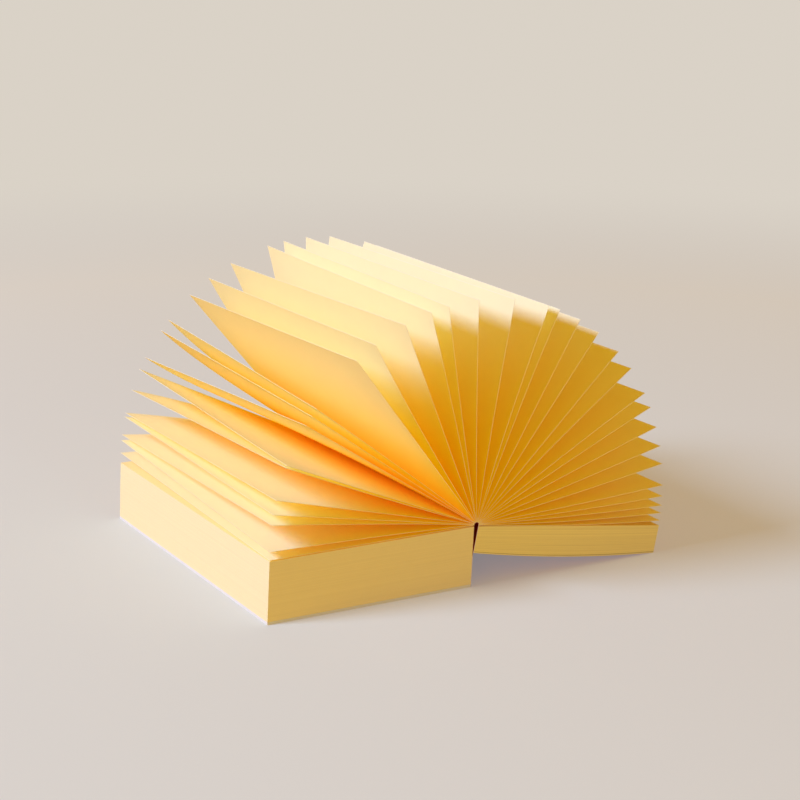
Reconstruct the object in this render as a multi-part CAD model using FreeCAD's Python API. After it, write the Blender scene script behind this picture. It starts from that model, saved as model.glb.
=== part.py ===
# A thick glue-bound notepad lying fanned open on a table.
#
# The block of sheets parts in three. The lower sheets stay closed and lie flat on the
# backing board, at the left. The upper sheets stay closed and lean over to the right,
# with their far lower edge on the table. The sheets between them stand free, as a fan
# round the bend of the spine glue.
#
# Every piece is the same section all along the pad, apart from a slight twist in the
# fanned leaves. Sections are drawn in the plane of the pad's near end, with x across
# the sheets and z up. The pad runs from there along +Y. Millimetres and degrees.
import FreeCAD
import Part
import math
import os

# ---- driving dimensions ----------------------------------------------------------
SHEET_WIDTH = 100.0          # from the glued edge to the free edge
PAD_LENGTH = 160.0           # along the glued edge

BOARD_THICKNESS = 1.3
LEFT_HEIGHT = 26.7           # closed sheets lying on the board
LEFT_LEAN = 1.1              # how far the left part leans towards the spine at its top

RIGHT_HEIGHT = 12.2          # closed sheets leaning over, measured on the glued edge
RIGHT_SWELL = 1.0            # how much thicker they are at the free edge
RIGHT_BOW = 1.8              # how far the lowest of them bulges, half way out

LEAF_THICKNESS = 0.11        # one free sheet
LEAF_AIR = 0.025             # between neighbouring free sheets where they leave the glue
GLUE_THICKNESS = 0.3         # the flexible film over the glued edge
ROOT_CLEARANCE = 0.05        # from the glue's outer face to a free sheet
STACK_CLEARANCE = 0.5        # from a closed part to where the bend begins
FOOT_CLEARANCE = 0.06        # between the two sides of the glue, where they come closest
SPANS_ACROSS = 32            # of a free sheet's surface, from the glue outwards
SPANS_ALONG = 16             # of the same surface, along the pad

# The fan, from the left part to the right one. Each row is one free sheet: its
# direction at the pad's near end and at its far end, in degrees up from the right
# part's top face, and how far it bows towards the left part, half way out, in mm.
# FAN_OPENING is the left part's top face on the same scale.
FAN_OPENING = 188.5
FAN = [
    (188.5, 186.0, 0.0),
    (186.5, 182.5, -0.5),
    (180.0, 181.0, -0.5),
    (177.5, 176.0, 0.0),
    (174.0, 175.0, 0.0),
    (166.0, 168.5, 0.5),
    (165.5, 162.5, 0.0),
    (155.0, 159.0, 0.0),
    (152.5, 150.5, 0.0),
    (150.5, 147.0, -0.5),
    (135.5, 138.0, 0.0),
    (129.5, 131.0, 1.0),
    (120.5, 123.5, 0.0),
    (113.0, 111.5, -0.5),
    (108.0, 106.5, 0.5),
    (99.5, 99.5, 0.5),
    (89.0, 92.0, 0.5),
    (78.5, 80.5, 1.0),
    (75.0, 76.0, 1.0),
    (68.0, 68.0, 0.0),
    (61.0, 61.5, 0.0),
    (52.5, 50.5, 0.0),
    (46.0, 43.5, 0.5),
    (37.5, 36.0, 0.5),
    (33.0, 30.5, 0.5),
    (27.0, 25.0, 0.5),
    (21.5, 19.5, 0.0),
    (16.5, 14.5, -0.5),
    (10.5, 10.5, -0.5),
    (7.5, 8.0, -0.5),
    (5.0, 5.5, -0.5),
    (3.0, 2.5, -1.0),
    (1.0, 1.0, -1.0),
]


# ---- points and directions in a section --------------------------------------------
def point(x, z, y=0.0):
    return FreeCAD.Vector(x, y, z)


def direction(degrees):
    """Unit vector at this angle up from +X."""
    angle = math.radians(degrees)
    return point(math.cos(angle), math.sin(angle))


def polygon_face(corners):
    return Part.Face(Part.makePolygon(corners + corners[:1]))


def along_pad(face):
    return face.extrude(FreeCAD.Vector(0, PAD_LENGTH, 0))


# ---- places worked out from the dimensions -----------------------------------------
left_top = BOARD_THICKNESS + LEFT_HEIGHT
left_spine_lean = math.degrees(math.atan2(LEFT_LEAN, left_top))
left_up = direction(90 - left_spine_lean)


def closing_angle(slot_radius):
    """Radians between the two glued edges, for this radius inside the glue of the bend.

    The right part leans in until FOOT_CLEARANCE is left between its glue and the left's.
    """
    drop = STACK_CLEARANCE + RIGHT_HEIGHT
    spare = 2 * slot_radius - FOOT_CLEARANCE
    return 2 * math.atan(spare / (drop + math.sqrt(drop ** 2 + FOOT_CLEARANCE * spare)))


# The bend turns from up the left part's glued edge to down the right part's, and is
# just large enough for all the free sheets to stand side by side on it. Its radius and
# its turn depend on each other a little, so they are settled in a few rounds.
bend_turn = math.pi
for settling in range(8):
    root_radius = len(FAN) * (LEAF_THICKNESS + LEAF_AIR) / bend_turn
    bend_radius = root_radius - ROOT_CLEARANCE
    bend_turn = math.pi + closing_angle(bend_radius - GLUE_THICKNESS)

bend_first = 180 - left_spine_lean
bend_last = bend_first - math.degrees(bend_turn)
bend_start = left_up * ((left_top + STACK_CLEARANCE) / left_up.z)
bend_centre = bend_start - direction(bend_first) * bend_radius
bend_end = bend_centre + direction(bend_last) * bend_radius

# The right part hangs from the bend by its glued edge and rests on the table by its
# far lower edge.
right_down = direction(bend_last - 90)
right_spine_top = bend_end + right_down * STACK_CLEARANCE
right_spine_foot = right_spine_top + right_down * RIGHT_HEIGHT
right_slope = math.degrees(math.asin(right_spine_foot.z / SHEET_WIDTH))
right_edge_foot = right_spine_foot + direction(-right_slope) * SHEET_WIDTH
right_edge_top = right_edge_foot - right_down * (RIGHT_HEIGHT + RIGHT_SWELL)

right_face = right_edge_top - right_spine_top
right_face_angle = math.degrees(math.atan2(right_face.z, right_face.x))


# ---- closed parts, board and glue ----------------------------------------------------
def left_slab(bottom, top):
    """A slab of the left part between two heights, leaning with its glued edge."""
    foot = left_up * (bottom / left_up.z)
    head = left_up * (top / left_up.z)
    width = point(SHEET_WIDTH, 0)
    return along_pad(polygon_face([foot - width, foot, head, head - width]))


def right_stack():
    """The closed sheets that lean over, with a bulging underside."""
    middle = (right_spine_foot + right_edge_foot) * 0.5
    bulge = middle + direction(-right_slope - 90) * RIGHT_BOW
    underside = Part.Arc(right_spine_foot, bulge, right_edge_foot).toShape()
    rest = Part.makePolygon(
        [right_edge_foot, right_edge_top, right_spine_top, right_spine_foot])
    return along_pad(Part.Face(Part.Wire([underside] + rest.Edges)))


def bend_arc(radius, start, end):
    """Arc round the bend from one angle to the other."""
    points = [bend_centre + direction(angle) * radius
              for angle in (start, (start + end) / 2, end)]
    return Part.Arc(*points).toShape()


def spine_glue():
    """One film: up the left glued edge, round the bend and down the right one."""
    inner_radius = bend_radius - GLUE_THICKNESS
    outer_foot = point(0, 0)
    inner_foot = point(GLUE_THICKNESS / left_up.z, 0)
    inner_start = bend_centre + direction(bend_first) * inner_radius
    inner_end = bend_centre + direction(bend_last) * inner_radius
    right_inner_foot = right_spine_foot - direction(bend_last) * GLUE_THICKNESS
    edges = [
        Part.makeLine(outer_foot, bend_start),
        bend_arc(bend_radius, bend_first, bend_last),
        Part.makeLine(bend_end, right_spine_foot),
        Part.makeLine(right_spine_foot, right_inner_foot),
        Part.makeLine(right_inner_foot, inner_end),
        bend_arc(inner_radius, bend_last, bend_first),
        Part.makeLine(inner_start, inner_foot),
        Part.makeLine(inner_foot, outer_foot),
    ]
    return along_pad(Part.Face(Part.Wire(edges)))


# ---- free leaves -----------------------------------------------------------------------
def shares(spans):
    """Evenly spaced shares of a length, from 0 to 1."""
    return [step / spans for step in range(spans + 1)]


def leaf_angle(opening):
    """An angle of the fan's own scale, in degrees up from +X."""
    return right_face_angle + opening / FAN_OPENING * (180 - right_face_angle)


def leaf_point(root, near_angle, far_angle, bow, across, along):
    """A point of a sheet's middle, at these shares of its width and of the pad's length."""
    angle = near_angle + along * (far_angle - near_angle)
    bulge = 4 * bow * across * (1 - across)
    return (root + direction(angle) * (across * SHEET_WIDTH)
            + direction(angle + 90) * bulge + point(0, 0, along * PAD_LENGTH))


def leaf(index):
    """One free sheet: a smooth surface that turns from end to end, then given its thickness."""
    near_opening, far_opening, bow = FAN[index]
    near_angle, far_angle = leaf_angle(near_opening), leaf_angle(far_opening)
    step = (bend_last - bend_first) / len(FAN)
    root = bend_centre + direction(bend_first + step * (index + 0.5)) * root_radius
    middle = Part.BSplineSurface()
    middle.interpolate([[leaf_point(root, near_angle, far_angle, bow, across, along)
                         for along in shares(SPANS_ALONG)]
                        for across in shares(SPANS_ACROSS)])
    through = direction((near_angle + far_angle) / 2 + 90) * LEAF_THICKNESS
    middle.translate(through * -0.5)
    return middle.toShape().extrude(through)


# ---- the pad -----------------------------------------------------------------------------
pad = {
    "backing_board": left_slab(0, BOARD_THICKNESS),
    "left_stack": left_slab(BOARD_THICKNESS, left_top),
    "right_stack": right_stack(),
    "spine_glue": spine_glue(),
}
for index in range(len(FAN)):
    pad["leaf_%02d" % (index + 1)] = leaf(index)

# The origin is on the table, at the middle of the space that the open pad takes up.
box = Part.Compound(list(pad.values())).optimalBoundingBox(False)
to_origin = FreeCAD.Vector(-box.Center.x, -box.Center.y, 0)

os.makedirs("parts", exist_ok=True)
for name, shape in pad.items():
    shape.translate(to_origin)
    shape.exportStep("parts/%s.step" % name)
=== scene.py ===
# Looks of the notepad: paper, board and glue over the fixed frame, with a plain studio.
import math
import random
import bpy
from mathutils import Matrix, Vector


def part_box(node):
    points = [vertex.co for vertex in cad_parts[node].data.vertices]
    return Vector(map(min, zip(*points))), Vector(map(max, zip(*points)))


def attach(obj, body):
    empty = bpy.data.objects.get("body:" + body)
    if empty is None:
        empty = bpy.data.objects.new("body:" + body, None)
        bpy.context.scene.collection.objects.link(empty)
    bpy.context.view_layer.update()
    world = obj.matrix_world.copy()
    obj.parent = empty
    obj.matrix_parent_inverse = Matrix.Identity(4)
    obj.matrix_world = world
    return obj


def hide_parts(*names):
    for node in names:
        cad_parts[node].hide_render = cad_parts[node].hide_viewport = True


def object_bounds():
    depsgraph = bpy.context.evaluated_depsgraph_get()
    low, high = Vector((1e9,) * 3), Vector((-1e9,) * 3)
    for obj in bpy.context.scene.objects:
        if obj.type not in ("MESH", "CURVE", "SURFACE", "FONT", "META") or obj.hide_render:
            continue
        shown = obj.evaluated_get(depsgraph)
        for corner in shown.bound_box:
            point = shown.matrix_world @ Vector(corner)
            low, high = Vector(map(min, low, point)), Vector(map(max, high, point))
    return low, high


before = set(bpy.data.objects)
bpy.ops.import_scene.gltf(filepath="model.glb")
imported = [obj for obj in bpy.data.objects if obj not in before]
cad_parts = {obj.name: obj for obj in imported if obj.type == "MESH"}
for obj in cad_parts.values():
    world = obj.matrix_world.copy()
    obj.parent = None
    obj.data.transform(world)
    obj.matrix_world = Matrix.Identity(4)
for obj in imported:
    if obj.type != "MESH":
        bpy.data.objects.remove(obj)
cad_low, cad_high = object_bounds()

MM = 0.001

# ---- the pad's own measures --------------------------------------------------------
PAPER_THICKNESS = 0.11 * MM
LEAF_ACROSS = 28             # faces of a free leaf, from the glue to the free edge
LEAF_ALONG = 32              # faces of a free leaf, along the pad
LEAF_WAVE = 0.35 * MM        # how far a free leaf wavers at its free edge
# How much further some leaves bow towards the left part at their far end.
FAR_SAG = {"leaf_05": -0.7 * MM, "leaf_06": -1.0 * MM, "leaf_08": 1.8 * MM,
           "leaf_09": 1.5 * MM, "leaf_10": 1.8 * MM}

BLOCK_ACROSS = 24            # faces of a closed block, from the glue to the free edge
BLOCK_ALONG = 16             # faces of a closed block, along the pad
SHEET_SHUFFLE = 0.018 * MM   # how far one closed sheet may lie off its place
BUNDLE_SHUFFLE = 0.03 * MM   # how far a bundle of closed sheets may
BUNDLE_SHEETS = (5, 22)      # fewest and most sheets in a bundle
END_TRIM = 0.06 * MM         # room left at both ends of the pad for sheets that stand proud

BOARD_PLIES = 5
PLY_SHUFFLE = 0.03 * MM
BOARD_SHUFFLE = 0.02 * MM

GLUE_THICKNESS = 0.3 * MM
GLUE_ALONG = 64              # faces of the glue film, along the pad
GLUE_UP = 14                 # up the left part
GLUE_ROUND = 20              # round the bend
GLUE_DOWN = 7                # and down the right part
GLUE_LUMPS = 0.12 * MM       # how much thinner the film is in places, on its open side
GLUE_LIFT = 0.05 * MM        # from the table to the film's lower edge

# ---- camera and light ----------------------------------------------------------------
CAMERA_PLACE = (-0.46617, -0.81534, 0.31914)
CAMERA_TURN = -30.132        # degrees, from looking along +Y
CAMERA_TILT = 15.070         # degrees, downwards
CAMERA_ROLL = 0.892
CAMERA_LENS = 93.894
FILM_WIDTH = 36.0            # of the camera, in mm like the lens
# The room light is warm and has no blue, so the lamps are cool. Together they come out
# about white on the lit side, and every shade on the paper turns golden.
KEY_DIRECTION = (-0.75, 0.12, 0.56)
KEY_DISTANCE = 4.0
KEY_SIZE = 1.6
KEY_POWER = 108.0
KEY_COLOUR = (0.82, 1.08, 1.58)
FILL_DIRECTION = (0.0, -1.0, 0.09)
FILL_DISTANCE = 4.0
FILL_SIZE = 0.7
FILL_POWER = 16.0
FILL_COLOUR = (0.42, 1.20, 1.45)
BOUNCES = 128                # light goes to and fro between the leaves many times

# ---- colours, linear ---------------------------------------------------------------------
# Towards the glue a free leaf, and the light that passes it, turn to a painted shade: the golden
# colour that light going to and fro between the leaves gives.
LEAF_OPEN = (0.998, 0.98, 0.76)      # a free leaf near its open edge
LEAF_PAINTED_SHADE = (0.998, 0.955, 0.04)     # painted shade down in the fan, near the glue
GLOW_OPEN = (0.999, 0.90, 0.35)      # what passes it, once for each face
GLOW_PAINTED_SHADE = (0.999, 0.88, 0.03)
LEAF_EDGE_HIGHLIGHT = (0.998, 0.98, 0.80)      # painted highlight on its thin cut edge, where it catches the light
EDGE_HIGHLIGHT_WIDTH = 0.45 * MM                # how far in from its cut edges a free leaf has a paler painted highlight
LEAF_GLOW = 0.22                     # share of the light that passes a leaf
PAPER_SHINE = 0.1                    # specular level of paper, well below the usual 0.5
BLOCK_PAPER = (0.93, 0.885, 0.60)    # cut edges of the left closed block
PARTED_PAPER = (0.93, 0.88, 0.48)    # cut edges of the right one
BLOCK_FACE_SHADE = (0.95, 0.82, 0.45)      # painted shade on the flat face of a closed block's outer sheet
STREAKS_A_METRE = 18.0               # along the lines of cut edges
SHADOW_LINE_SHEET = 5.0                      # painted shadow line on the right block's cut edges, at this sheet, as if the lowest sheets hung apart
SHADOW_LINE_SHADE = 0.4                       # how much darker that painted shadow line is
BOARD_WHITE = (0.80, 0.87, 0.98)
GLUE_DARK = (0.24, 0.012, 0.01)
GLUE_BRIGHT = (0.36, 0.028, 0.02)
GLUE_CUT_HIGHLIGHT = (0.88, 0.80, 0.98)        # painted highlight on its cut end, down the right part

ROOM_LIGHT = (0.56, 0.295, 0.0)      # what the room sends back
FLOOR_LIGHT = (0.8, 0.44, 0.0)       # the floor's colour in what it sends back
PALE = (0.70, 0.645, 0.57)           # the background as seen
FLOOR_TONE = (0.86, 0.90, 0.86)      # the floor round the pad, under the lamps
SHADE_TONE = (0.52, 0.53, 0.58)      # even tone that tempers the warm light in its shadow
FLOOR_EVEN = 0.38                    # share of even tone round the pad
FLOOR_NEAR = 0.25                    # from the pad's middle, where that share begins to rise
FLOOR_FAR = 1.1                      # and where all is even
FLOOR_SIZE = 24.0


# ---- small helpers -----------------------------------------------------------------------
def deselect():
    bpy.ops.object.select_all(action="DESELECT")


def make_active(piece):
    """The one selected and active object."""
    deselect()
    piece.select_set(True)
    bpy.context.view_layer.objects.active = piece


def edit(piece):
    make_active(piece)
    bpy.ops.object.mode_set(mode="EDIT")


def leave_edit():
    bpy.ops.object.mode_set(mode="OBJECT")


def apply_modifier(piece, kind, **settings):
    """Adds a modifier with these settings and applies it."""
    make_active(piece)
    modifier = piece.modifiers.new(kind.lower(), kind)
    for key, value in settings.items():
        setattr(modifier, key, value)
    bpy.ops.object.modifier_apply(modifier=modifier.name)


def finish_piece(piece, slot, *nodes):
    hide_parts(*nodes)
    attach(piece, "root")


# ---- reading the frame ---------------------------------------------------------------------
def end_section(node, far=False):
    """Points of a CAD piece's near or far end, as (x, z), each once."""
    low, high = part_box(node)
    end = high.y if far else low.y
    points = {(round(v.co.x, 8), round(v.co.z, 8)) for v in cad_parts[node].data.vertices
              if abs(v.co.y - end) < 0.001 * MM}
    return [Vector(p) for p in sorted(points)]


def corner(section, right, up):
    """The corner of a section that lies furthest this way."""
    return max(section, key=lambda p: p.x * right + p.y * up)


def line_of_leaf(node, far):
    """Root, direction in radians, width and bow of a free leaf at one of its ends."""
    section = end_section(node, far)
    by_root = sorted(section, key=lambda p: (p - fold).length)
    root = (by_root[0] + by_root[1]) / 2
    tip = (by_root[-1] + by_root[-2]) / 2
    chord = tip - root
    across = Vector((-chord.y, chord.x)).normalized()
    offsets = [(p - root).dot(across) for p in section]
    # Leaves turn from just under the horizontal at the right, over the top, to the left.
    angle = math.pi / 2 - math.atan2(chord.x, chord.y)
    return root, angle, chord.length, max(offsets) + min(offsets)


pad_low, pad_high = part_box("left_stack")
PAD_LENGTH = pad_high.y - pad_low.y
left_block = end_section("left_stack")
right_block = end_section("right_stack")
glue_low, glue_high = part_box("spine_glue")

# The bend's centre and radius follow from the lean of the left glued edge, which the
# bend's circle touches, and from how far the glue reaches to the right and upwards.
left_up = (corner(left_block, 1, 1) - corner(left_block, 1, -1)).normalized()
left_out = Vector((left_up.y, -left_up.x))
glue_foot = Vector((glue_low.x, glue_low.z))
solver = Matrix(((left_up.x, left_out.x + 1), (left_up.y, left_out.y + 1))).inverted()
reach = Vector((glue_high.x, glue_high.z)) - glue_foot
left_rise, bend_radius = solver @ reach
fold = glue_foot + left_up * left_rise + left_out * bend_radius
right_down = (corner(right_block, -1, -1) - corner(right_block, -1, 1)).normalized()
right_out = Vector((-right_down.y, right_down.x))
right_fall = (corner(right_block, -1, -1) - fold).dot(right_down)
bend_turn = math.atan2(-left_out.y, -left_out.x) - math.atan2(right_out.y, right_out.x)

leaf_nodes = sorted(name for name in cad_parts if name.startswith("leaf_"))
leaf_width = line_of_leaf(leaf_nodes[0], False)[2]


# ---- materials -----------------------------------------------------------------------------
def new_group(name, inputs, outputs):
    """A shader node group with these sockets. Inputs are (name, kind, default)."""
    group = bpy.data.node_groups.new(name, "ShaderNodeTree")
    for label, kind, value in inputs:
        socket = group.interface.new_socket(label, in_out="INPUT", socket_type=kind)
        socket.default_value = value
    for label, kind in outputs:
        group.interface.new_socket(label, in_out="OUTPUT", socket_type=kind)
    return group, group.nodes.new("NodeGroupInput"), group.nodes.new("NodeGroupOutput")


class Wiring:
    """Adds nodes to a tree, with values and links given by socket name."""

    def __init__(self, tree):
        self.tree = tree

    def add(self, kind, settings=None, **inputs):
        node = self.tree.nodes.new("ShaderNode" + kind)
        for key, value in (settings or {}).items():
            setattr(node, key, value)
        for key, value in inputs.items():
            self.feed(node, key.replace("_", " "), value)
        return node

    def feed(self, node, key, value):
        socket = node.inputs[int(key)] if key.isdigit() else node.inputs[key]
        if isinstance(value, bpy.types.NodeSocket):
            self.tree.links.new(value, socket)
        else:
            socket.default_value = value

    def math(self, operation, a, b=0.0):
        node = self.add("Math", {"operation": operation})
        self.feed(node, "0", a)
        self.feed(node, "1", b)
        return node.outputs[0]

    def vector(self, operation, a, b):
        node = self.add("VectorMath", {"operation": operation})
        self.feed(node, "0", a)
        self.feed(node, "1", b)
        return node.outputs

    def range(self, value, low, high, to_low, to_high):
        """The value's place between low and high, eased, on the other scale."""
        node = self.add("MapRange", {"interpolation_type": "SMOOTHSTEP"})
        for key, item in zip(("Value", "From Min", "From Max", "To Min", "To Max"),
                             (value, low, high, to_low, to_high)):
            self.feed(node, key, item)
        return node.outputs["Result"]

    def mix(self, factor, a, b, blend="MIX"):
        node = self.add("Mix", {"data_type": "RGBA", "blend_type": blend})
        self.feed(node, "0", factor)
        self.feed(node, "6", a)
        self.feed(node, "7", b)
        return node.outputs[2]


def tinted(colour):
    """A colour with full alpha, as sockets take it."""
    return (*colour, 1.0)


def make_fibre_group():
    """Paper and board fibres: a soft cloudy tone and a fine height."""
    group, entry, out = new_group(
        "fibres",
        [("Grain", "NodeSocketFloat", 2200.0), ("Cloud", "NodeSocketFloat", 160.0),
         ("Depth", "NodeSocketFloat", 0.03)],
        [("Tone", "NodeSocketFloat"), ("Height", "NodeSocketFloat")])
    w = Wiring(group)
    place = w.add("TexCoord").outputs["Object"]
    cloud = w.add("TexNoise", Vector=place, Scale=entry.outputs["Cloud"], Detail=3.0,
                  Roughness=0.6).outputs["Fac"]
    grain = w.add("TexNoise", Vector=place, Scale=entry.outputs["Grain"], Detail=2.0,
                  Roughness=0.55).outputs["Fac"]
    speck = w.math("ADD", w.math("MULTIPLY", cloud, 0.65), w.math("MULTIPLY", grain, 0.35))
    swing = w.math("MULTIPLY", w.math("SUBTRACT", speck, 0.5), entry.outputs["Depth"])
    w.tree.links.new(w.math("ADD", 1.0, swing), out.inputs["Tone"])
    w.tree.links.new(grain, out.inputs["Height"])
    return group


def make_cut_group():
    """Cut edges of many sheets: long faint lines that follow the sheets."""
    group, entry, out = new_group(
        "cut_sheets",
        [("Sheet", "NodeSocketFloat", 0.0), ("Depth", "NodeSocketFloat", 0.1)],
        [("Tone", "NodeSocketFloat"), ("Height", "NodeSocketFloat")])
    w = Wiring(group)
    place = w.add("SeparateXYZ", Vector=w.add("TexCoord").outputs["Object"])
    number = w.math("FLOOR", entry.outputs["Sheet"])
    one = w.add("TexWhiteNoise", {"noise_dimensions": "1D"}, W=number).outputs["Value"]
    run = w.math("ADD", w.math("MULTIPLY", place.outputs["X"], STREAKS_A_METRE),
                 w.math("MULTIPLY", place.outputs["Y"], STREAKS_A_METRE))
    streak_at = w.add("CombineXYZ", X=run, Y=w.math("MULTIPLY", entry.outputs["Sheet"], 0.45))
    streak = w.add("TexNoise", Vector=streak_at.outputs[0], Scale=1.0, Detail=3.0,
                   Roughness=0.7).outputs["Fac"]
    bundle_at = w.add("CombineXYZ", X=w.math("MULTIPLY", run, 0.4),
                      Y=w.math("MULTIPLY", entry.outputs["Sheet"], 0.07))
    bundle = w.add("TexNoise", Vector=bundle_at.outputs[0], Scale=1.0, Detail=2.0,
                   Roughness=0.5).outputs["Fac"]
    long_lines = w.math("ADD", w.math("MULTIPLY", streak, 0.45), w.math("MULTIPLY", bundle, 0.25))
    mixed = w.math("ADD", w.math("MULTIPLY", one, 0.3), long_lines)
    swing = w.math("MULTIPLY", w.math("SUBTRACT", mixed, 0.5), entry.outputs["Depth"])
    w.tree.links.new(w.math("ADD", 1.0, swing), out.inputs["Tone"])
    w.tree.links.new(mixed, out.inputs["Height"])
    return group


def new_material(name):
    material = bpy.data.materials.new(name)
    material.use_nodes = True
    material.node_tree.nodes.clear()
    w = Wiring(material.node_tree)
    return material, w, w.add("OutputMaterial")


def use_group(w, group, **inputs):
    node = w.tree.nodes.new("ShaderNodeGroup")
    node.node_tree = group
    for key, value in inputs.items():
        w.feed(node, key, value)
    return node


def scaled(w, colour, tone):
    """A colour brightened or darkened by a tone near 1."""
    grey = w.add("CombineColor", Red=tone, Green=tone, Blue=tone).outputs[0]
    return w.mix(1.0, colour, grey, "MULTIPLY")


def bump(w, height, strength, distance):
    return w.add("Bump", Height=height, Strength=strength, Distance=distance).outputs["Normal"]


fibres = make_fibre_group()
cut_sheets = make_cut_group()


def leaf_material():
    """A free leaf: some light passes through it, tinted twice, once by each face.

    The leaf is a shell with two faces. Light that is inside it always passes on.
    """
    material, w, out = new_material("leaf_paper")
    paper = use_group(w, fibres, Grain=2600.0, Cloud=140.0, Depth=0.05)
    place = w.add("SeparateXYZ", Vector=w.add("TexCoord").outputs["UV"])
    across, along = place.outputs["X"], place.outputs["Y"]
    # Painted shade: the colour deepens from the open edge towards the glue.
    painted_shade_fade = w.range(across, 0.02, 0.95, 0.0, 1.0)
    from_side = w.math("MULTIPLY", w.math("SUBTRACT", 1.0, across), leaf_width)
    nearer_end = w.math("MINIMUM", along, w.math("SUBTRACT", 1.0, along))
    from_end = w.math("MULTIPLY", nearer_end, PAD_LENGTH)
    # Painted highlight: paler within a narrow band along the cut edges, away from the glue.
    edge = w.range(w.math("MINIMUM", from_side, from_end), EDGE_HIGHLIGHT_WIDTH / 3, EDGE_HIGHLIGHT_WIDTH, 1.0, 0.0)
    off_glue = w.range(across, 0.02, 0.3, 0.0, 1.0)
    edge = w.math("MULTIPLY", edge, off_glue)
    colour = w.mix(painted_shade_fade, tinted(LEAF_PAINTED_SHADE), tinted(LEAF_OPEN))
    colour = w.mix(edge, colour, tinted(LEAF_EDGE_HIGHLIGHT))
    colour = scaled(w, colour, paper.outputs["Tone"])
    normal = bump(w, paper.outputs["Height"], 0.12, 0.05 * MM)
    face = w.add("BsdfPrincipled", Base_Color=colour, Roughness=0.82, Normal=normal,
                 Specular_IOR_Level=PAPER_SHINE)
    # The light that passes the leaf takes the same painted shade and painted highlight.
    glow = w.mix(painted_shade_fade, tinted(GLOW_PAINTED_SHADE), tinted(GLOW_OPEN))
    glow = w.mix(edge, glow, tinted(LEAF_EDGE_HIGHLIGHT))
    through = w.add("BsdfTranslucent", Color=glow, Normal=normal)
    inside = w.add("NewGeometry").outputs["Backfacing"]
    both = w.add("MixShader", Fac=w.math("MAXIMUM", inside, LEAF_GLOW))
    w.tree.links.new(face.outputs[0], both.inputs[1])
    w.tree.links.new(through.outputs[0], both.inputs[2])
    w.tree.links.new(both.outputs[0], out.inputs["Surface"])
    return material


def rim_material():
    """The thin cut edge of a free leaf, in the pale colour of a painted highlight."""
    material, w, out = new_material("leaf_cut_edge")
    paper = use_group(w, fibres, Grain=4000.0, Cloud=300.0, Depth=0.08)
    colour = scaled(w, tinted(LEAF_EDGE_HIGHLIGHT), paper.outputs["Tone"])
    face = w.add("BsdfPrincipled", Base_Color=colour, Roughness=0.9)
    w.tree.links.new(face.outputs[0], out.inputs["Surface"])
    return material


def block_material(name, paper_colour, lines, shadow_line_shade):
    """Closed sheets: flat faces above and below, in a painted shade, and cut edges that show as
    lines.

    lines is how strong they are, and the last number how much darker a painted shadow
    line makes a few sheets, as if the lowest few hung apart from the rest.
    """
    material, w, out = new_material(name)
    paper = use_group(w, fibres, Grain=2600.0, Cloud=220.0, Depth=0.04)
    sheet = w.add("Attribute", {"attribute_name": "sheet"}).outputs["Fac"]
    cut = use_group(w, cut_sheets, Sheet=sheet, Depth=lines)
    upward = w.add("SeparateXYZ", Vector=w.add("NewGeometry").outputs["Normal"]).outputs["Z"]
    # Painted shade: faces that look up or down take a deeper colour than the cut edges.
    flat = w.range(w.math("ABSOLUTE", upward), 0.8, 0.95, 0.0, 1.0)
    colour = w.mix(flat, tinted(paper_colour), tinted(BLOCK_FACE_SHADE))
    colour = scaled(w, colour, paper.outputs["Tone"])
    colour = scaled(w, colour, cut.outputs["Tone"])
    # Painted shadow line across a few sheets of the cut edges.
    if shadow_line_shade:
        off_shadow_line = w.math("ABSOLUTE", w.math("SUBTRACT", sheet, SHADOW_LINE_SHEET))
        colour = scaled(w, colour, w.range(off_shadow_line, 0.8, 2.2, 1.0 - shadow_line_shade, 1.0))
    height = w.math("ADD", w.math("MULTIPLY", paper.outputs["Height"], 0.3), cut.outputs["Height"])
    normal = bump(w, height, 0.25, 0.1 * MM)
    face = w.add("BsdfPrincipled", Base_Color=colour, Roughness=0.85, Normal=normal,
                 Specular_IOR_Level=PAPER_SHINE)
    w.tree.links.new(face.outputs[0], out.inputs["Surface"])
    return material


def board_material():
    """White backing board with a fibrous edge."""
    material, w, out = new_material("white_board")
    fibre = use_group(w, fibres, Grain=1400.0, Cloud=260.0, Depth=0.1)
    ply = w.add("Attribute", {"attribute_name": "sheet"}).outputs["Fac"]
    cut = use_group(w, cut_sheets, Sheet=w.math("MULTIPLY", ply, 6.0), Depth=0.12)
    colour = scaled(w, tinted(BOARD_WHITE), fibre.outputs["Tone"])
    colour = scaled(w, colour, cut.outputs["Tone"])
    height = w.math("ADD", fibre.outputs["Height"], cut.outputs["Height"])
    normal = bump(w, height, 0.35, 0.1 * MM)
    face = w.add("BsdfPrincipled", Base_Color=colour, Roughness=0.88, Normal=normal)
    w.tree.links.new(face.outputs[0], out.inputs["Surface"])
    return material


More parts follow.
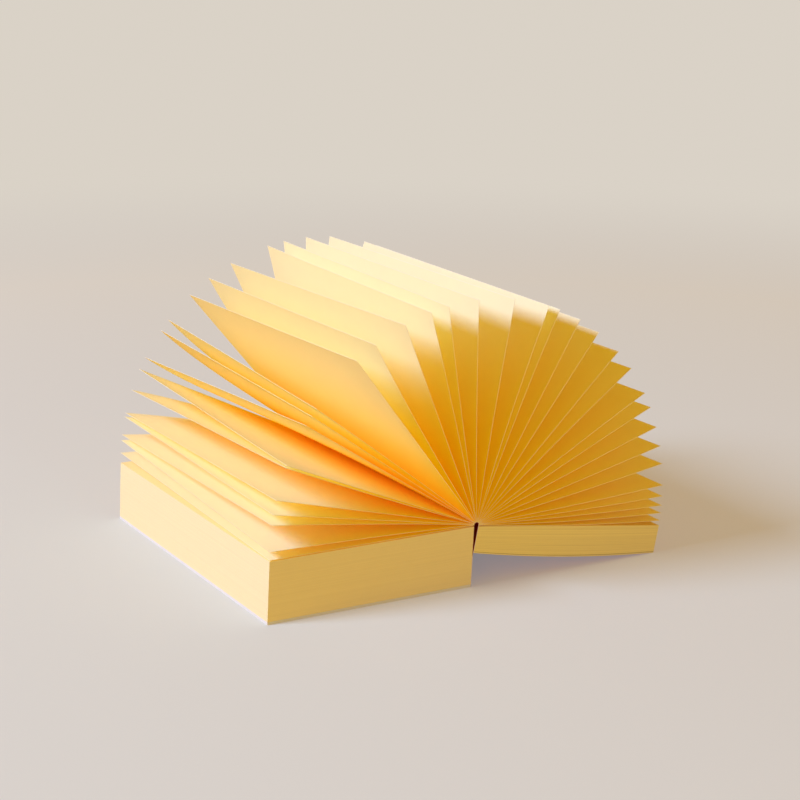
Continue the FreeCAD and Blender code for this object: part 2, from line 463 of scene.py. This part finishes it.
def glue_material():
    """Dark red padding glue: a satin, brushed-on film."""
    material, w, out = new_material("padding_glue")
    place = w.add("TexCoord").outputs["Object"]
    brushed = w.add("Mapping", Vector=place, Scale=(1.0, 0.12, 1.0)).outputs[0]
    lumps = w.add("TexNoise", Vector=brushed, Scale=420.0, Detail=3.0,
                  Roughness=0.55).outputs["Fac"]
    cloud = w.add("TexNoise", Vector=place, Scale=90.0, Detail=2.0).outputs["Fac"]
    colour = w.mix(w.range(cloud, 0.35, 0.65, 0.0, 1.0), tinted(GLUE_DARK), tinted(GLUE_BRIGHT))
    # Painted highlight: the film's cut ends on the right part are pale, as if catching the light.
    at = w.add("SeparateXYZ", Vector=place)
    end = w.range(w.math("ABSOLUTE", at.outputs["Y"]), PAD_LENGTH / 2 - 0.2 * MM,
                  PAD_LENGTH / 2 - 0.1 * MM, 0.0, 1.0)
    from_fold = w.vector("SUBTRACT", place, (fold.x, 0.0, fold.y))["Vector"]
    outwards = w.vector("DOT_PRODUCT", from_fold, (right_out.x, 0.0, right_out.y))["Value"]
    inner = bend_radius - GLUE_THICKNESS
    right = w.range(outwards, inner - 0.1 * MM, inner - 0.03 * MM, 0.0, 1.0)
    colour = w.mix(w.math("MULTIPLY", end, right), colour, tinted(GLUE_CUT_HIGHLIGHT))
    rough = w.range(lumps, 0.3, 0.7, 0.34, 0.52)
    normal = bump(w, lumps, 0.4, 0.2 * MM)
    face = w.add("BsdfPrincipled", Base_Color=colour, Roughness=rough, Normal=normal)
    w.tree.links.new(face.outputs[0], out.inputs["Surface"])
    return material


leaf_paper = leaf_material()
leaf_cut_edge = rim_material()
pressed_sheets = block_material("pressed_sheets", BLOCK_PAPER, 0.14, 0.0)
parted_sheets = block_material("parted_sheets", PARTED_PAPER, 0.5, SHADOW_LINE_SHADE)
white_board = board_material()
padding_glue = glue_material()


# ---- free leaves -----------------------------------------------------------------------------
def cut_leaf(width):
    """One flat sheet, its glued edge on the Y axis, with weights for bending it."""
    deselect()
    bpy.ops.mesh.primitive_grid_add(x_subdivisions=LEAF_ACROSS, y_subdivisions=LEAF_ALONG, size=1)
    sheet = bpy.context.object
    sheet.name = "flat_sheet"
    bpy.ops.object.mode_set(mode="EDIT")
    bpy.ops.transform.translate(value=(0.5, 0, 0))
    bpy.ops.transform.resize(value=(width, PAD_LENGTH, 1), center_override=(0, 0, 0))
    leave_edit()
    belly = sheet.vertex_groups.new(name="belly")
    free = sheet.vertex_groups.new(name="free")
    far_sag = sheet.vertex_groups.new(name="far_sag")
    for vertex in sheet.data.vertices:
        share = vertex.co.x / width
        along = vertex.co.y / PAD_LENGTH + 0.5
        belly.add([vertex.index], 4 * share * (1 - share), "REPLACE")
        free.add([vertex.index], share ** 1.5, "REPLACE")
        far_sag.add([vertex.index], 27 / 4 * share ** 2 * (1 - share) * along, "REPLACE")
    return sheet


def hang_leaf(sheet, node):
    """A copy of the flat sheet, bowed, twisted and turned to a free leaf's place."""
    root, near_angle, _, near_bow = line_of_leaf(node, False)
    _, far_angle, _, far_bow = line_of_leaf(node, True)
    leaf = sheet.copy()
    leaf.data = sheet.data.copy()
    leaf.name = leaf.data.name = node.replace("leaf", "sheet")
    bpy.context.scene.collection.objects.link(leaf)
    bow = (near_bow + far_bow) / 2
    if abs(bow) > 0.001 * MM:
        apply_modifier(leaf, "DISPLACE", direction="Z", mid_level=0.0, vertex_group="belly",
                       strength=bow)
    if node in FAR_SAG:
        apply_modifier(leaf, "DISPLACE", direction="Z", mid_level=0.0, vertex_group="far_sag",
                       strength=FAR_SAG[node])
    make_active(leaf)
    if near_angle != far_angle:
        apply_modifier(leaf, "SIMPLE_DEFORM", deform_method="TWIST", deform_axis="Y",
                       angle=near_angle - far_angle)
    leaf.rotation_euler = (0, -(near_angle + far_angle) / 2, 0)
    leaf.location = (root.x, 0, root.y)
    bpy.ops.object.transform_apply(location=True, rotation=True, scale=True)
    apply_modifier(leaf, "DISPLACE", texture=paper_waves, texture_coords="GLOBAL",
                   direction="NORMAL", mid_level=0.5, vertex_group="free", strength=LEAF_WAVE)
    leaf.data.materials.append(leaf_paper)
    leaf.data.materials.append(leaf_cut_edge)
    apply_modifier(leaf, "SOLIDIFY", thickness=PAPER_THICKNESS, offset=0.0,
                   use_even_offset=True, material_offset_rim=1)
    bpy.ops.object.shade_smooth_by_angle(angle=math.radians(30))
    leaf.vertex_groups.clear()
    finish_piece(leaf, "paper", node)


def clouds(name, size):
    """A soft texture for uneven surfaces, with swells of about this size."""
    texture = bpy.data.textures.new(name, "CLOUDS")
    texture.noise_scale = size
    texture.noise_depth = 1
    return texture


paper_waves = clouds("paper_waves", 60 * MM)

flat_sheet = cut_leaf(leaf_width)
for node in leaf_nodes:
    hang_leaf(flat_sheet, node)
bpy.data.objects.remove(flat_sheet)


# ---- closed blocks and board ---------------------------------------------------------------
def bend_to_section(block, width, height, section):
    """Fits a straight block to its section with a lattice, underside bow included."""
    foot_left, foot_right = corner(section, -1, -1), corner(section, 1, -1)
    head_left, head_right = corner(section, -1, 1), corner(section, 1, 1)
    chord = foot_right - foot_left
    below = Vector((chord.y, -chord.x)).normalized()
    bow = max((p - foot_left).dot(below) for p in section)
    deselect()
    bpy.ops.object.add(type="LATTICE", location=(width / 2, 0, height / 2))
    cage = bpy.context.object
    cage.scale = (width, PAD_LENGTH, height)
    cage.data.points_u, cage.data.points_v, cage.data.points_w = BLOCK_ACROSS + 1, 2, 2
    for way in ("u", "v", "w"):
        setattr(cage.data, "interpolation_type_" + way, "KEY_LINEAR")
    for index, knot in enumerate(cage.data.points):
        share = (index % (BLOCK_ACROSS + 1)) / BLOCK_ACROSS
        if knot.co.z < 0:
            place = foot_left.lerp(foot_right, share) + below * (4 * bow * share * (1 - share))
        else:
            place = head_left.lerp(head_right, share)
        knot.co_deform = (place.x / width - 0.5, knot.co.y, place.y / height - 0.5)
    apply_modifier(block, "LATTICE", object=cage)
    bpy.data.objects.remove(cage)


def pile(node, sheets, shuffle, loose, seed):
    """A closed block, sheet by sheet: each is drawn up from the last and a little off it.

    shuffle is how far a sheet may lie off its place, and loose how far a bundle may.
    """
    dice = random.Random(seed)
    section = end_section(node)
    width = (corner(section, 1, 1) - corner(section, -1, 1)).length
    height = (corner(section, -1, 1) - corner(section, -1, -1)).length
    deselect()
    bpy.ops.mesh.primitive_grid_add(
        x_subdivisions=BLOCK_ACROSS, y_subdivisions=BLOCK_ALONG, size=1)
    block = bpy.context.object
    bpy.ops.object.mode_set(mode="EDIT")
    bpy.ops.mesh.select_mode(type="FACE")
    bpy.ops.transform.translate(value=(0.5, 0, 0))
    bpy.ops.transform.resize(
        value=(width, PAD_LENGTH - 2 * END_TRIM, 1), center_override=(0, 0, 0))
    here = Vector((0, 0))
    bundle = Vector((0, 0))
    left_in_bundle = 0
    for sheet in range(sheets):
        bpy.ops.mesh.extrude_region_move(TRANSFORM_OT_translate={"value": (0, 0, height / sheets)})
        if sheet == sheets - 1:
            break
        if not left_in_bundle:
            left_in_bundle = dice.randint(*BUNDLE_SHEETS)
            bundle = Vector((dice.uniform(-loose, loose), dice.uniform(-loose, loose)))
        left_in_bundle -= 1
        there = bundle + Vector((dice.uniform(-shuffle, shuffle), dice.uniform(-shuffle, shuffle)))
        step = there - here
        bpy.ops.mesh.extrude_region_move(TRANSFORM_OT_translate={"value": (step.x, step.y, 0)})
        here = there
    bpy.ops.mesh.select_all(action="SELECT")
    bpy.ops.mesh.normals_make_consistent(inside=False)
    leave_edit()
    heights = [vertex.co.z / height * sheets for vertex in block.data.vertices]
    block.data.attributes.new("sheet", "FLOAT", "POINT").data.foreach_set("value", heights)
    bend_to_section(block, width, height, section)
    make_active(block)
    bpy.ops.object.shade_smooth_by_angle(angle=math.radians(25))
    return block


def stack_sheets(name, node, seed, paper):
    """One of the two closed parts, with as many sheets as its height holds."""
    section = end_section(node)
    height = (corner(section, -1, 1) - corner(section, -1, -1)).length
    sheets = round(height / PAPER_THICKNESS)
    block = pile(node, sheets, SHEET_SHUFFLE, BUNDLE_SHUFFLE, seed)
    block.name = block.data.name = name
    block.data.materials.append(paper)
    finish_piece(block, "paper", node)


stack_sheets("left_sheets", "left_stack", 3, pressed_sheets)
stack_sheets("right_sheets", "right_stack", 8, parted_sheets)

board = pile("backing_board", BOARD_PLIES, PLY_SHUFFLE, BOARD_SHUFFLE, 5)
board.name = board.data.name = "board"
board.data.materials.append(white_board)
finish_piece(board, "board", "backing_board")


# ---- spine glue ------------------------------------------------------------------------------
def extrude_along(way, length, steps):
    """Draws the selected edge out this far, in equal steps."""
    step = way * (length / steps)
    for _ in range(steps):
        bpy.ops.mesh.extrude_edges_move(TRANSFORM_OT_translate={"value": (step.x, 0, step.y)})


def brush_glue():
    """One film: up the left glued edge, round the bend and down the right one."""
    foot = glue_foot + left_up * GLUE_LIFT
    deselect()
    bpy.ops.mesh.primitive_grid_add(x_subdivisions=1, y_subdivisions=GLUE_ALONG, size=1)
    film = bpy.context.object
    film.name = film.data.name = "glue_film"
    edit(film)
    bpy.ops.mesh.select_mode(type="VERT")
    bpy.ops.mesh.select_all(action="SELECT")
    bpy.ops.transform.resize(
        value=(1, PAD_LENGTH - 2 * END_TRIM, 1), center_override=(0, 0, 0))
    bpy.ops.mesh.select_all(action="DESELECT")
    leave_edit()
    for vertex in film.data.vertices:
        vertex.select = vertex.co.x < 0
    edit(film)
    bpy.ops.mesh.delete(type="VERT")
    bpy.ops.mesh.select_all(action="SELECT")
    bpy.ops.transform.translate(value=(foot.x - 0.5, 0, foot.y))
    extrude_along(left_up, left_rise - GLUE_LIFT, GLUE_UP)
    bpy.ops.mesh.spin(
        steps=GLUE_ROUND, angle=-bend_turn, center=(fold.x, 0, fold.y), axis=(0, 1, 0))
    extrude_along(right_down, right_fall, GLUE_DOWN)
    bpy.ops.mesh.select_all(action="SELECT")
    bpy.ops.mesh.remove_doubles(threshold=0.002 * MM)
    bpy.ops.mesh.normals_make_consistent(inside=False)
    leave_edit()
    lowest = min(film.data.polygons, key=lambda face: face.center.z)
    if lowest.normal.x > 0:
        edit(film)
        bpy.ops.mesh.flip_normals()
        leave_edit()
    film.vertex_groups.new(name="slot_side")
    apply_modifier(film, "SOLIDIFY", thickness=GLUE_THICKNESS, offset=-1.0,
                   use_even_offset=True, shell_vertex_group="slot_side")
    apply_modifier(film, "DISPLACE", texture=glue_lumps, texture_coords="LOCAL",
                   direction="NORMAL", mid_level=1.0, vertex_group="slot_side",
                   strength=GLUE_LUMPS)
    film.vertex_groups.clear()
    bpy.ops.object.shade_smooth_by_angle(angle=math.radians(40))
    film.data.materials.append(padding_glue)
    finish_piece(film, "glue", "spine_glue")


glue_lumps = clouds("glue_lumps", 4 * MM)
brush_glue()


# ---- studio ------------------------------------------------------------------------------------
def seen(w):
    """1 where a ray from the camera, a reflection or clear glass meets the surface."""
    path = w.add("LightPath")
    clear = w.math("MAXIMUM", path.outputs["Is Glossy Ray"], path.outputs["Is Transmission Ray"])
    return w.math("MAXIMUM", path.outputs["Is Camera Ray"], clear)


def floor_material():
    """Pale as seen, with the pad's shadow; warmer in the light it sends back."""
    material, w, out = new_material("floor")
    place = w.add("TexCoord").outputs["Object"]
    from_pad = w.add("VectorMath", {"operation": "LENGTH"}, Vector=place).outputs["Value"]
    bounce = w.add("BsdfDiffuse", Color=tinted(FLOOR_LIGHT))
    lit = w.add("BsdfDiffuse", Color=tinted(FLOOR_TONE))
    away = w.range(from_pad, FLOOR_NEAR, FLOOR_FAR, 0.0, 1.0)
    even = w.add("Emission", Color=w.mix(away, tinted(SHADE_TONE), tinted(PALE)), Strength=1.0)
    share = w.math("MAXIMUM", away, FLOOR_EVEN)
    shown = w.add("MixShader", Fac=share)
    w.tree.links.new(lit.outputs[0], shown.inputs[1])
    w.tree.links.new(even.outputs[0], shown.inputs[2])
    both = w.add("MixShader", Fac=seen(w))
    w.tree.links.new(bounce.outputs[0], both.inputs[1])
    w.tree.links.new(shown.outputs[0], both.inputs[2])
    w.tree.links.new(both.outputs[0], out.inputs["Surface"])
    return material


deselect()
bpy.ops.mesh.primitive_grid_add(x_subdivisions=8, y_subdivisions=8, size=FLOOR_SIZE)
floor = bpy.context.object
floor.name = "floor"
floor.data.materials.append(floor_material())

world = bpy.data.worlds.new("studio")
bpy.context.scene.world = world
world.use_nodes = True
w = Wiring(world.node_tree)
sky = world.node_tree.nodes["Background"]
w.tree.links.new(w.mix(seen(w), tinted(ROOM_LIGHT), tinted(PALE)), sky.inputs["Color"])


def soft_lamp(name, direction, distance, size, power, colour):
    """A round soft lamp that faces the middle of the pad from this direction."""
    towards = Vector(direction).normalized()
    bpy.ops.object.light_add(type="AREA", location=(cad_low + cad_high) / 2 + towards * distance)
    lamp = bpy.context.object
    lamp.name = name
    lamp.data.shape = "DISK"
    lamp.data.size = size
    lamp.data.energy = power
    lamp.data.color = colour
    lamp.rotation_euler = towards.to_track_quat("Z", "Y").to_euler()


soft_lamp("key", KEY_DIRECTION, KEY_DISTANCE, KEY_SIZE, KEY_POWER, KEY_COLOUR)
soft_lamp("fill", FILL_DIRECTION, FILL_DISTANCE, FILL_SIZE, FILL_POWER, FILL_COLOUR)

bpy.ops.object.camera_add(location=CAMERA_PLACE)
camera = bpy.context.object
camera.data.lens = CAMERA_LENS
camera.data.sensor_width = FILM_WIDTH
turn = (Matrix.Rotation(math.radians(CAMERA_TURN), 4, "Z")
        @ Matrix.Rotation(math.radians(90 - CAMERA_TILT), 4, "X")
        @ Matrix.Rotation(math.radians(CAMERA_ROLL), 4, "Z"))
camera.rotation_euler = turn.to_euler()
bpy.context.scene.camera = camera
bpy.context.scene.view_settings.view_transform = "Standard"
bpy.context.scene.cycles.diffuse_bounces = BOUNCES
bpy.context.scene.cycles.max_bounces = BOUNCES
bpy.context.scene.cycles.transmission_bounces = BOUNCES
